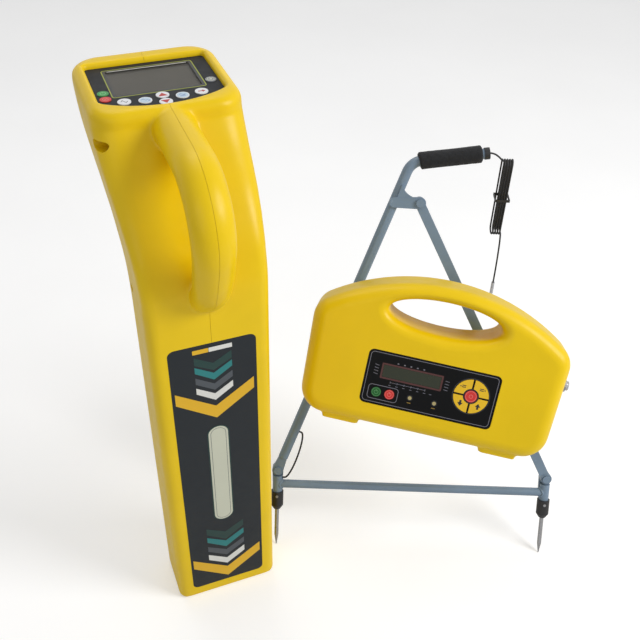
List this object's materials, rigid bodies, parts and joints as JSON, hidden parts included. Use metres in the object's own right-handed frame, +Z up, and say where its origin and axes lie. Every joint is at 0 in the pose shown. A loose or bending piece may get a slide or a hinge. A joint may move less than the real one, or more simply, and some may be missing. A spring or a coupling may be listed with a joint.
{
  "type": "cable locator set",
  "caption": "Cable locating set: tall hand-held receiver with display head and hooked handle, carry-case transmitter with keypad, and A-frame ground probe with spikes and a hanked lead.",
  "frame": {"origin": "middle of the receiver's flat base, on the ground", "axes": "+X to the receiver's right as seen from its label side, +Y from the label to the back of the head, +Z up along the blade"},
  "size_m": [0.5599, 0.3583, 0.6902],
  "materials": {
    "shell_yellow": "matte",
    "panel_dark": "matte",
    "window": "gloss",
    "lcd_grey": "matte",
    "board_green": "matte",
    "label_navy": "satin",
    "screw_steel": "satin",
    "battery_can": "satin",
    "battery_dark": "matte",
    "ferrite": "matte",
    "key_green": "satin",
    "key_red": "satin",
    "key_white": "satin",
    "key_grey": "satin",
    "pad_yellow": "satin",
    "led_amber": "gloss",
    "tube_blue": "satin",
    "grip_foam": "matte",
    "holder_black": "matte",
    "spike_steel": "satin",
    "cord_black": "matte",
    "plug_metal": "satin"
  },
  "bodies": {
    "set": {"receiver_left_shell": "shell_yellow", "receiver_right_shell": "shell_yellow", "receiver_panel": "panel_dark", "receiver_window": "window", "receiver_lcd": "lcd_grey", "receiver_board": "board_green", "receiver_label": "label_navy", "receiver_screws": "screw_steel", "receiver_battery": "battery_can", "antenna_lower": "ferrite", "antenna_upper": "ferrite", "transmitter_front_shell": "shell_yellow", "transmitter_rear_shell": "shell_yellow", "transmitter_panel": "panel_dark", "transmitter_window": "window", "transmitter_lcd": "lcd_grey", "transmitter_board": "board_green", "transmitter_battery": "battery_dark", "transmitter_leds": "led_amber", "transmitter_socket": "plug_metal", "transmitter_screws": "screw_steel", "frame_main_tube": "tube_blue", "frame_base": "tube_blue", "frame_pivot_pin": "screw_steel", "frame_foot_bolt": "screw_steel", "frame_grip": "grip_foam", "frame_gland": "holder_black", "holder_left": "holder_black", "holder_right": "holder_black", "spike_left": "spike_steel", "spike_right": "spike_steel", "holder_screws": "screw_steel", "frame_wire": "cord_black", "lead": "cord_black", "lead_tie": "cord_black", "lead_plug": "plug_metal"},
    "key_on_body": {"key_on": "key_green"},
    "key_off_body": {"key_off": "key_red"},
    "key_function_body": {"key_function": "key_white"},
    "key_mode_left_body": {"key_mode_left": "key_white"},
    "key_up_body": {"key_up": "key_white"},
    "key_down_body": {"key_down": "key_white"},
    "key_mode_right_body": {"key_mode_right": "key_white"},
    "key_direction_body": {"key_direction": "key_white"},
    "key_light_body": {"key_light": "key_grey"},
    "transmitter_key_on_body": {"transmitter_key_on": "key_green"},
    "transmitter_key_off_body": {"transmitter_key_off": "key_red"},
    "pad_up_body": {"pad_up": "pad_yellow"},
    "pad_right_body": {"pad_right": "pad_yellow"},
    "pad_down_body": {"pad_down": "pad_yellow"},
    "pad_left_body": {"pad_left": "pad_yellow"},
    "pad_centre_body": {"pad_centre": "key_red"},
    "brace_body": {"frame_brace": "tube_blue", "frame_hook_pin": "screw_steel"}
  },
  "joints": [
    {"name": "key_on_press", "type": "slide", "parent": "set", "child": "key_on_body", "axis": [0, 0, -1], "range_m": [0, 0.0005], "stiffness_N_per_m": 400},
    {"name": "key_off_press", "type": "slide", "parent": "set", "child": "key_off_body", "axis": [0, 0, -1], "range_m": [0, 0.0005], "stiffness_N_per_m": 400},
    {"name": "key_function_press", "type": "slide", "parent": "set", "child": "key_function_body", "axis": [0, 0, -1], "range_m": [0, 0.0005], "stiffness_N_per_m": 400},
    {"name": "key_mode_left_press", "type": "slide", "parent": "set", "child": "key_mode_left_body", "axis": [0, 0, -1], "range_m": [0, 0.0005], "stiffness_N_per_m": 400},
    {"name": "key_up_press", "type": "slide", "parent": "set", "child": "key_up_body", "axis": [0, 0, -1], "range_m": [0, 0.0005], "stiffness_N_per_m": 400},
    {"name": "key_down_press", "type": "slide", "parent": "set", "child": "key_down_body", "axis": [0, 0, -1], "range_m": [0, 0.0005], "stiffness_N_per_m": 400},
    {"name": "key_mode_right_press", "type": "slide", "parent": "set", "child": "key_mode_right_body", "axis": [0, 0, -1], "range_m": [0, 0.0005], "stiffness_N_per_m": 400},
    {"name": "key_direction_press", "type": "slide", "parent": "set", "child": "key_direction_body", "axis": [0, 0, -1], "range_m": [0, 0.0005], "stiffness_N_per_m": 400},
    {"name": "key_light_press", "type": "slide", "parent": "set", "child": "key_light_body", "axis": [0, 0, -1], "range_m": [0, 0.0005], "stiffness_N_per_m": 400},
    {"name": "transmitter_key_on_press", "type": "slide", "parent": "set", "child": "transmitter_key_on_body", "axis": [0.44, 0.7851, -0.436], "range_m": [0, 0.0005], "stiffness_N_per_m": 400},
    {"name": "transmitter_key_off_press", "type": "slide", "parent": "set", "child": "transmitter_key_off_body", "axis": [0.44, 0.7851, -0.436], "range_m": [0, 0.0005], "stiffness_N_per_m": 400},
    {"name": "pad_up_press", "type": "slide", "parent": "set", "child": "pad_up_body", "axis": [0.44, 0.7851, -0.436], "range_m": [0, 0.0005], "stiffness_N_per_m": 400},
    {"name": "pad_right_press", "type": "slide", "parent": "set", "child": "pad_right_body", "axis": [0.44, 0.7851, -0.436], "range_m": [0, 0.0005], "stiffness_N_per_m": 400},
    {"name": "pad_down_press", "type": "slide", "parent": "set", "child": "pad_down_body", "axis": [0.44, 0.7851, -0.436], "range_m": [0, 0.0005], "stiffness_N_per_m": 400},
    {"name": "pad_left_press", "type": "slide", "parent": "set", "child": "pad_left_body", "axis": [0.44, 0.7851, -0.436], "range_m": [0, 0.0005], "stiffness_N_per_m": 400},
    {"name": "pad_centre_press", "type": "slide", "parent": "set", "child": "pad_centre_body", "axis": [0.44, 0.7851, -0.436], "range_m": [0, 0.0005], "stiffness_N_per_m": 400},
    {"name": "brace_hinge", "type": "hinge", "parent": "set", "child": "brace_body", "pos_m": [0.3412, 0.14089, 0.46018], "axis": [-0.3454, -0.8298, 0.4384], "range_deg": [0, 75]}
  ]
}
